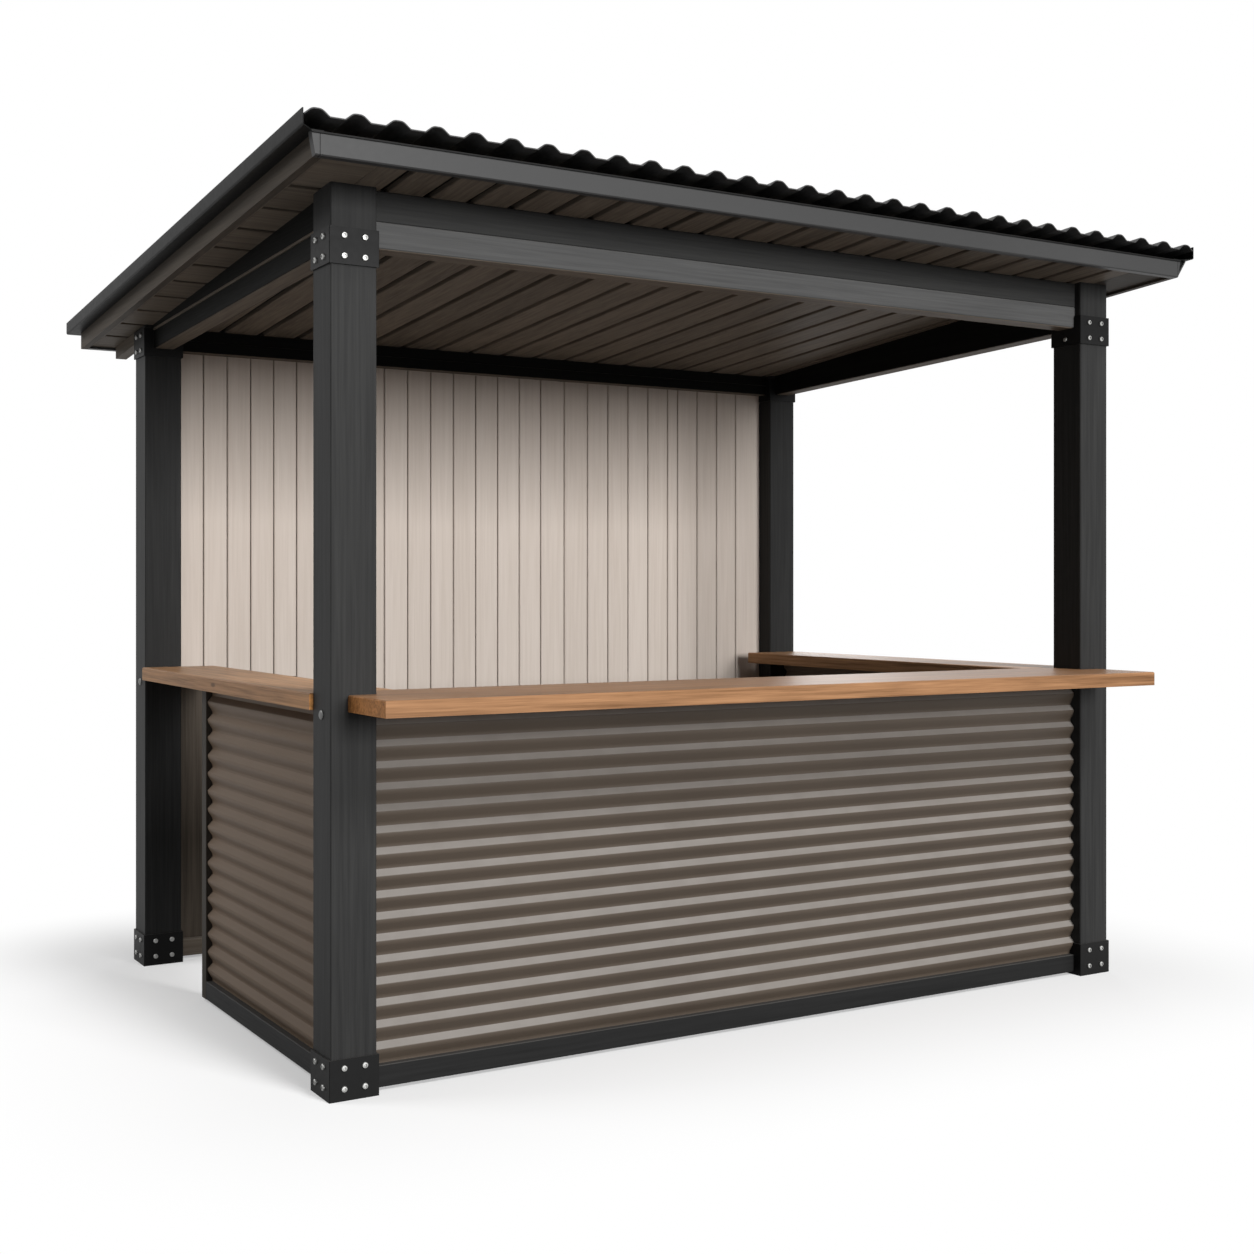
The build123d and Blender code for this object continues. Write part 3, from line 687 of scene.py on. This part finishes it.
# %% Apron sheets
middle_y = boxes["front_panel"][:, 1].mean()
left_x, right_x = boxes["left_panel"][:, 0].mean(), boxes["right_panel"][:, 0].mean()
ways = {"front": (0, taupe_sheet, lambda level, out, along: (along, middle_y - out, level)),
        "left": (1, side_sheet, lambda level, out, along: (left_x - out, along, level)),
        "right": (1, side_sheet, lambda level, out, along: (right_x + out, along, level))}
for side, (axis, finish, way) in ways.items():
    stations = np.linspace(*boxes[side + "_panel"][:, axis], apron_stations)
    skins = [laid(line, stations, way) for line in lines]
    sheet = new_piece(side + "_corrugated_sheet", *closed_strips(*skins), finish, "taupe_sheet")
    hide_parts(side + "_panel")

# %% [markdown]
# ## Boards
# A board's section is a rectangle with eased edges: four points along the face and four along the back. A
# bevel would give the same edge on every side, while here only the edges that show are eased. Boards that
# touch show a V-joint where their eased edges meet. The wall is boarded from left to right in runs of a
# count and a width, with one narrow board where the rest didn't fit. Each board gets its own tone.

# %% Wall boards
def board_lines(left, right, face, back, ease, back_ease=0.0):
    """Face and back lines of boards from their two edges; arrays of shape (copies, 4, 2)."""
    left, right = np.atleast_1d(left).astype(float), np.atleast_1d(right).astype(float)
    across = np.stack([left, left + ease, right - ease, right], axis=1)
    lean = math.copysign(1.0, back - face)
    front = np.broadcast_to([face + lean * ease, face, face, face + lean * ease], across.shape)
    rear = np.broadcast_to([back - lean * back_ease, back, back, back - lean * back_ease], across.shape)
    return np.stack([across, front], axis=-1), np.stack([across, rear], axis=-1)


def wall_place(across, deep, along):
    """Wall boards stand upright: across is x, deep is y and along is z."""
    return across, deep, along


wall_low, wall_high = boxes["back_wall"]
wall_gap, wall_ease = 0.0032, 0.0030
wall_runs = [(1, 0.103), (8, 0.086), (7, 0.095), (2, 0.107), (4, 0.0957), (1, 0.0495), (3, 0.098),
             (1, 0.1237)]
widths = np.repeat([width for count, width in wall_runs], [count for count, width in wall_runs])
edges = wall_low[0] - wall_gap / 2 + np.concatenate([[0], np.cumsum(widths)])
edges[-1] = wall_high[0] + wall_gap / 2
wall_boards = len(widths)
skins = [laid(line, [wall_low[2], wall_high[2]], wall_place) for line in board_lines(
    edges[:-1] + wall_gap / 2, edges[1:] - wall_gap / 2, wall_low[1], wall_high[1], wall_ease, wall_ease)]
wall = new_piece("back_wall_boards", *closed_strips(*skins), pale, "pale_boards", wall_boards)
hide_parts("back_wall")
print("wall boards:", wall_boards)

# %% [markdown]
# Behind each joint lies the tongue of the next board. A real tongue is part of its board, but all that shows
# of it is a dark line, so one narrow strip in the middle of the wall's thickness stands for it. Its
# near-black finish is painted shade in the joint.

# %% Wall tongues
tongue_shares, tongue_ease = np.array([0.4, 0.6]), 0.0002
tongue_depth = wall_low[1] + tongue_shares * (wall_high[1] - wall_low[1])
tongues = [laid(line, [wall_low[2], wall_high[2]], wall_place) for line in board_lines(
    edges[1:-1] - wall_gap / 2, edges[1:-1] + wall_gap / 2, *tongue_depth, tongue_ease)]
# The near-black strip is painted shade inside the joints.
new_piece("wall_tongues", *closed_strips(*tongues), lining)

# %% [markdown]
# Low down the wall is much darker than above the counters, as the way in shows. It could be a change of
# paint, but a thin lining is what such a bar would have there, against kicks and wet. So thin boards of a
# darker taupe follow the joints of the wall there. They stop below the sight line over the front counter, and
# beside the way in they step up to the left counter.

# %% Lower wall lining
lining_thickness, lining_gap, lining_ease, lining_joint = 0.005, 0.0003, 0.001, 0.003
step_x, high_top, low_top = -0.75, 0.977, 0.880
lining_back = wall_low[1] - lining_gap
tops = np.where(edges[1:] < step_x, high_top, low_top)
heights = np.stack([np.full(wall_boards, wall_low[2]), tops], axis=1)
lower = [laid(line, heights, wall_place) for line in board_lines(
    edges[:-1] + lining_joint / 2, edges[1:] - lining_joint / 2, lining_back - lining_thickness, lining_back,
    lining_ease)]
new_piece("lower_wall_boards", *closed_strips(*lower), lower_taupe, "taupe_timber", wall_boards)

# %% [markdown]
# The ceiling boards run from front to rear with open joints. Dark lines in a material would lie flat, but
# real gaps are seen at a slant and show their depth, and a dark lining above the boards closes them. The
# overhang in front of the beam has narrower boards than the ceiling inside, so the two fields meet over
# the beam.

# %% Ceiling boards
board_thickness, board_ease, joint, cover_top, cover_ease = 0.014, 0.002, 0.023, 0.018, 0.001


def roof_place(across, deep, along):
    """Boards under the roof that run down its slope: their depth counts from the soffit."""
    return across, along, soffit(along) + deep


half_ceiling = boxes["ceiling"][1, 0]
beam_middle = boxes["front_beam_upper"][:, 1].mean()
fields = {"overhang": (0.1231, 10, front_y, beam_middle), "inside": (0.1384, 9, beam_middle, rear_y)}
boards = []
for pitch, count, start, stop in fields.values():
    joints = np.arange(-count, count + 1) * pitch
    left = np.concatenate([[-half_ceiling], joints + joint / 2])
    right = np.concatenate([joints - joint / 2, [half_ceiling]])
    boards.append([laid(line, [start, stop], roof_place)
                   for line in board_lines(left, right, 0.0, board_thickness, board_ease)])
upper, lower = (np.concatenate(both) for both in zip(*boards))
ceiling = new_piece("ceiling_boards", *closed_strips(upper, lower), taupe["y"], "taupe_timber", len(upper))
cover = [laid(line, [front_y, rear_y], roof_place)
         for line in board_lines(-half_ceiling, half_ceiling, board_thickness, cover_top, cover_ease)]
new_piece("ceiling_lining", *closed_strips(*cover), lining)
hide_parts("ceiling")

# %% [markdown]
# Under the two side edges of the roof short boards lie across, from the side beam to a narrow strip along the
# barge board, with a joint about every 0.2 m. A slab with slots cut into it would look the same, but boards
# need no cutting. They are made like the ceiling boards, with across and along changed over. On the right
# they take a darker taupe, which is painted shade.

# %% Verge boards
verge_pitch, verge_joint, verge_strip, first_joint, last_board = 0.2117, 0.022, 0.014, -0.921, 0.05
short_ease, strip_ease = 0.0015, 0.0005


def across_place(across, deep, along):
    """Boards under the roof that lie across its slope."""
    return along, across, soffit(across) + deep


for side, sign in (("left", -1), ("right", 1)):
    low, high = boxes[side + "_verge_soffit"]
    outer, inner = (low[0], high[0]) if sign < 0 else (high[0], low[0])
    inset = outer - sign * verge_strip
    joints = np.arange(first_joint, high[1] - last_board, verge_pitch)
    left = np.concatenate([[low[1]], joints + verge_joint / 2])
    right = np.concatenate([joints - verge_joint / 2, [high[1]]])
    short = [laid(line, sorted([inset, inner]), across_place)
             for line in board_lines(left, right, 0.0, board_thickness, short_ease)]
    long = [laid(line, [low[1], high[1]], roof_place)
            for line in board_lines(min(outer, inset), max(outer, inset), 0.0, board_thickness, strip_ease)]
    both = [np.concatenate(pair) for pair in zip(short, long)]
    # The right boards' darker taupe is painted shade.
    verge = new_piece(side + "_verge_boards", *closed_strips(*both), taupe["x"] if sign < 0 else right_verge_taupe_painted_shade,
                      "taupe_timber", len(both[0]))
    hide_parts(side + "_verge_soffit")
    cover = [laid(line, [low[1], high[1]], roof_place)
             for line in board_lines(low[0], high[0], board_thickness, cover_top, cover_ease)]
    new_piece(side + "_verge_lining", *closed_strips(*cover), lining)

# %% [markdown]
# The undersides of the beams are lined with a thin taupe strip that picks up the colour of the ceiling. A
# second finish on the beam's own lower face would need its mesh cut, and the frame's meshes stay as they
# are. So each strip is a flat board that stops short of the brackets. At the back it leaves room for the
# top of the wall.

# %% Front and back beam strips
strip_thickness, trim_ease, end_gap, strip_inset, wall_room = 0.002, 0.001, 0.008, 0.004, 0.0225


def level_beam_place(across, deep, along):
    """Strips under the beams that run from left to right: across is y and deep is z."""
    return along, across, deep


for side, far in {"front": strip_inset, "back": wall_room}.items():
    low, high = boxes[side + "_beam_lower"]
    strip = [laid(line, [low[0] + end_gap, high[0] - end_gap], level_beam_place) for line in board_lines(
        low[1] + strip_inset, high[1] - far, low[2] - strip_thickness, low[2], trim_ease)]
    new_piece(side + "_beam_strip", *closed_strips(*strip), taupe["x"], "taupe_timber")

# %% [markdown]
# The side beams aren't level. Their strips follow the straight line between the undersides of the front
# and the back beam, so the height is worked out from the place along the beam. The lower part of each
# side beam is set back by a rebate.

# %% Side beam strips
rebate = 0.006
beam_ends = np.array([boxes["front_beam_lower"][0, 2], boxes["back_beam_lower"][0, 2]])
for side, sign in (("left", -1), ("right", 1)):
    low, high = boxes[side + "_side_beam"]

    def side_place(across, deep, along):
        """The depth counts from the line between the two beams' undersides."""
        return across, along, np.interp(along, [low[1], high[1]], beam_ends) + deep

    inner, outer = (high[0], low[0] + rebate) if sign < 0 else (low[0], high[0] - rebate)
    left, right = sorted([inner + sign * strip_inset, outer - sign * strip_inset])
    strip = [laid(line, [low[1] + end_gap, high[1] - end_gap], side_place)
             for line in board_lines(left, right, -strip_thickness, 0.0, trim_ease)]
    new_piece(side + "_beam_strip", *closed_strips(*strip), taupe["y"], "taupe_timber")

# %% [markdown]
# A thin bead covers the step in the outer face of each side beam. Its taupe on the black beam is a painted
# highlight along the lit edge of the step. It starts low at the front and climbs against the fall of the
# roof. It is one straight lath, so two heights are enough, given as shares of the beam's depth below the roof
# at its two ends.

# %% Side beam beads
step_shares, bead_height = (0.54, 0.14), 0.007
for side, sign in (("left", -1), ("right", 1)):
    low, high = boxes[side + "_side_beam"]
    ends = low[1] + end_gap, high[1] - end_gap
    tops = [soffit(y) - share * (soffit(y) - z)
            for y, share, z in zip((low[1], high[1]), step_shares, beam_ends)]
    face = low[0] if sign < 0 else high[0]

    def bead_place(level, deep, along):
        """The level counts from the straight line between the two heights."""
        return deep, along, np.interp(along, [low[1], high[1]], tops) + level

    bead = [laid(line, ends, bead_place)
            for line in board_lines(-bead_height, 0.0, face, face - sign * rebate, trim_ease)]
    # The taupe bead is a painted highlight on the step's edge.
    new_piece(side + "_beam_bead", *closed_strips(*bead), taupe["y"], "taupe_timber")

# %% [markdown]
# ## Bolts
# A bolt head is a turned shape: a profile of radius and height carried round an axis. Blender's Screw
# modifier could turn one, but here all heads are made in one array. The profile goes up the rim, over the
# eased edge and down into a six-sided socket. On a socket ring the radius follows the hexagon: its flat
# distance over the cosine of the angle from the nearest flat.

# %% Turned heads
def bolt_heads(places, normals, radius, profile, socket=()):
    """Points and quads of all heads; the profile holds shares (radius, height) of the head's radius.

    A point is the place plus radius times (cosine, sine) in the plane plus height along the normal.
    Five quads close the innermost ring of twelve points.
    """
    places, normals = np.asarray(places, float), np.asarray(normals, float)
    angle = np.arange(12) * math.pi / 6
    aside = np.stack([normals[:, 1] + normals[:, 2], -normals[:, 0], 0 * normals[:, 0]], axis=1)
    up = np.cross(normals, aside)
    rings = np.array(profile, float)
    reach = np.repeat(rings[:, :1], len(angle), axis=1)
    flats = math.cos(math.pi / 6) / np.cos((angle + math.pi / 6) % (math.pi / 3) - math.pi / 6)
    reach[list(socket)] *= flats
    turn = np.cos(angle)[:, None] * aside[:, None] + np.sin(angle)[:, None] * up[:, None]
    points = (places[:, None, None] + radius * reach[None, :, :, None] * turn[:, None]
              + radius * rings[None, :, 1, None, None] * normals[:, None, None])
    index = np.arange(points[..., 0].size).reshape(points.shape[:3])
    ahead = np.roll(index, -1, axis=2)
    quads = np.stack([index[:, :-1], ahead[:, :-1], ahead[:, 1:], index[:, 1:]], axis=-1)
    caps = index[:, -1][:, [[0, 1, 2, 3], [4, 5, 6, 7], [8, 9, 10, 11], [0, 3, 4, 7], [0, 7, 8, 11]]]
    return points.reshape(-1, 3), np.concatenate([quads.reshape(-1, 4), caps.reshape(-1, 4)])


print("heads ready")

# %% [markdown]
# Four bolts go through each outer face of a shoe or bracket, two above two. The back left shoe shows its
# front beside the way in and has four there too. Under the ends of the front beam each front bracket has
# one more on its inner face. Their heights are shares of the plate, so the rows follow it if it changes.

# %% Plate bolts
socket_head = [(1.0, -0.1), (1.0, 0.45), (0.86, 0.62), (0.52, 0.66), (0.46, 0.25)]
socket_rings, bolt_radius, bolt_shifts = (3, 4), 0.008, (-0.028, 0.028)
rows = {"post_shoe": (0.29, 0.79), "post_bracket": (0.22, 0.77)}
posts = {"front_left": (-1, -1), "front_right": (1, -1), "back_left": (-1, 1), "back_right": (1, 1)}
spots, facing = [], []


def bolt(plate, way, shift, share):
    """Adds a bolt on the face of a plate that looks one way: a shift sideways and a share of its height."""
    low, high = boxes[plate]
    middle = (low + high) / 2
    face = np.where(np.array(way) < 0, low, high)
    z = low[2] + share * (high[2] - low[2])
    spots.append((face[0], middle[1] + shift, z) if way[0] else (middle[0] + shift, face[1], z))
    facing.append(way)


for kind, shares in rows.items():
    for post, (way_x, way_y) in posts.items():
        for share in shares:
            for shift in bolt_shifts:
                bolt(kind + "_" + post, (way_x, 0, 0), shift, share)
                bolt(kind + "_" + post, (0, way_y, 0), shift, share)
for share in rows["post_shoe"]:
    for shift in bolt_shifts:
        bolt("post_shoe_back_left", (0, -1, 0), shift, share)
bolt("post_bracket_front_left", (1, 0, 0), 0.0, rows["post_bracket"][0])
bolt("post_bracket_front_right", (-1, 0, 0), 0.0, rows["post_bracket"][0])
new_piece("plate_bolts", *bolt_heads(spots, facing, bolt_radius, socket_head, socket_rings), zinc)
print("plate bolts:", len(spots))

# %% [markdown]
# A round domed bolt sits on the outer side of each post just under the counter, where the counter's rail
# is fixed. It is turned like the others, but its profile has no socket, only a low dome.

# %% Coach bolts
dome = [(1.0, -0.1), (1.0, 0.12), (0.92, 0.24), (0.68, 0.38), (0.36, 0.46)]
coach_height, coach_radius = 0.974, 0.0125
spots, facing = [], []
for post, sign in {"front_left": -1, "back_left": -1, "front_right": 1, "back_right": 1}.items():
    low, high = boxes["post_" + post]
    spots.append((low[0] if sign < 0 else high[0], (low[1] + high[1]) / 2, coach_height))
    facing.append((sign, 0, 0))
new_piece("coach_bolts", *bolt_heads(spots, facing, coach_radius, dome), dull_zinc)

# %% [markdown]
# ## Roof screws
# Small dark screws with broad washers hold every second crest of the roof sheet down on the battens. They
# are turned shapes too, with a step where the washer ends. A grid of crests and battens gives all places
# at once.

# %% Roof screws
screw = [(1.0, -0.3), (1.0, 0.1), (0.62, 0.22), (0.55, 0.6), (0.4, 0.7)]
screw_radius = 0.006
batten_y = np.array([boxes["roof_batten_" + name][:, 1].mean() for name in ("front", "middle", "rear")])
grid_x, grid_y = (part.ravel() for part in np.meshgrid(middles[1:-1:2], batten_y))
spots = np.stack([grid_x, grid_y, soffit(grid_y) + seat + roof_depth + sheet_thickness / 2], axis=1)
upward = np.tile([0, 0, 1.0], (len(spots), 1))
new_piece("roof_screws", *bolt_heads(spots, upward, screw_radius, screw), steel, "black_steel")

# %% [markdown]
# ## Roof edge
# Along each side edge of the roof a bent strip of sheet closes the gap beside the outermost crest. It has a
# foot on the barge board and an upstand, with a rounded bend between them. At the front its foot is cut
# off on a slant, from the upstand back to the end of the fascia. A cut would leave a ragged mesh, so the
# strip's front end is a function of the distance from the upstand instead.

# %% Edge flashings
upstand_height, bend_radius = 0.041, 0.004
fascia_low, fascia_high = boxes["front_fascia"]
fascia_end = fascia_high[0]
for side, sign in (("left", -1), ("right", 1)):
    low, high = boxes[side + "_barge_flashing"]
    inner_x, outer_x = sorted(abs(np.array([low[0], high[0]])))
    upstand_x, middle_x = outer_x - sheet_thickness, outer_x - sheet_thickness / 2
    top = high[2] - soffit(low[1])
    foot_level = top - upstand_height + sheet_thickness / 2
    corners = np.array([[inner_x, foot_level], [middle_x, foot_level], [middle_x, top]])
    lines = [np.insert(line, 1, [fascia_end, line[0, 0, 1]], axis=1)
             for line in bent_line(corners, np.array([bend_radius]), sheet_thickness)]

    def flashing_place(across, level, along):
        """The front end runs from the fascia's face out to the lip of the roof along the slant."""
        slant = np.clip((upstand_x - across) / (upstand_x - fascia_end), 0, 1)
        start = low[1] + slant * (fascia_low[1] - low[1])
        y = start + along * (high[1] - start)
        return sign * across, y, soffit(y) + level

    skins = [laid(line, [0.0, 1.0], flashing_place) for line in lines]
    flashing = new_piece(side + "_edge_flashing", *closed_strips(*skins), dark_trim, "charcoal_trim")
    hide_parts(side + "_barge_flashing")

# %% [markdown]
# The front fascia is a coated board with a short cap at each end. The caps flare outwards to the top, and
# a fine seam parts them from the board. Three boxes would each need a slanted end. Instead all three share
# one section with eased edges, carried from one end line to the other, and the end lines may lean.

# %% Front fascia
cap_width, seam, fascia_ease = {"left": 0.022, "right": 0.012}, 0.0015, 0.003
flare = fascia_end - boxes["right_barge_board"][1, 0]
level_low = fascia_low[2] - soffit(fascia_high[1])
level_high = fascia_high[2] - soffit(fascia_low[1])
section = board_lines(level_low, level_high, fascia_low[1], fascia_high[1], fascia_ease)
left_seam, right_seam = cap_width["left"] - fascia_end, fascia_end - cap_width["right"]
spans = {"left_cap": (-fascia_end, left_seam - seam / 2, flare, 0),
         "board": (left_seam + seam / 2, right_seam - seam / 2, 0, 0),
         "right_cap": (right_seam + seam / 2, fascia_end, 0, -flare)}
strips = []
for start, stop, start_lean, stop_lean in spans.values():
    def fascia_place(level, y, along):
        """A point lies a share of the way between the end lines, which lean with the depth below the top."""
        below = (level_high - level) / (level_high - level_low)
        x = start + start_lean * below
        return x + along * (stop + stop_lean * below - x), y, soffit(y) + level

    strips.append([laid(line, [0.0, 1.0], fascia_place) for line in section])
skins = [np.concatenate(pair) for pair in zip(*strips)]
fascia = new_piece("front_fascia_boards", *closed_strips(*skins), trim, "charcoal_trim")
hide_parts("front_fascia")

# %% [markdown]
# A narrow drip strip runs along the top of the fascia and draws a dark line there. It is a small bent edge
# on the real one. Its bend is too fine to see, so a lath with eased edges stands for it.

# %% Drip strip
drip_height, drip_reach, drip_root, drip_ease = 0.005, 0.003, 0.001, 0.0008


def drip_place(level, y, along):
    """The strip lies level from left to right, with its height counted from the soffit."""
    return along, y, soffit(y) + level


strip = [laid(line, [-fascia_end, fascia_end], drip_place) for line in board_lines(
    level_high - drip_height, level_high, fascia_low[1] - drip_reach, fascia_low[1] + drip_root, drip_ease)]
new_piece("fascia_drip_strip", *closed_strips(*strip), dark_trim, "charcoal_trim")

# %% [markdown]
# At the front of the right edge a three-cornered plate closes the end between the fascia and the flashing.
# It stands a little behind the fascia, and its slanted edge is folded forward, which catches the light; the
# fold also takes the paler charcoal trim instead of the plate's black steel, a painted highlight.
# A square plate could be cut to shape, but a strip needs no cut: the plate lies between an upright line
# and the slanted one, and the fold between two slanted ones.

# %% Closing plate
plate_setback, plate_thickness, plate_edge = 0.008, 0.003, 0.002
fold_depth, fold_width = 0.004, 0.006
plate_y = fascia_low[1] + plate_setback
top, bottom = soffit(plate_y) + level_high, soffit(plate_y) + level_low + plate_edge
plate_x = fascia_end - flare
tip_x = boxes["right_barge_flashing"][1, 0] - plate_edge


def plate_place(across, level, along):
    """The plate stands across the bar: across is x, level is z and its thickness lies along y."""
    return across, along, level


def slanted(shift):
    """The slanted edge from the foot of the fascia up to the flashing, moved sideways."""
    return np.array([[[plate_x + plate_edge + shift, bottom], [tip_x + shift, top]]])


upright = np.array([[[plate_x, bottom], [plate_x, top]]])
plate = [laid(line, [plate_y, plate_y + plate_thickness], plate_place) for line in (upright, slanted(0))]
new_piece("verge_closing_plate", *closed_strips(*plate), steel, "black_steel")
# The fold's paler trim finish is a painted highlight on the plate's edge.
fold = [laid(line, [plate_y - fold_depth, plate_y], plate_place)
        for line in (slanted(-fold_width), slanted(0))]
new_piece("verge_plate_fold", *closed_strips(*fold), trim, "charcoal_trim")
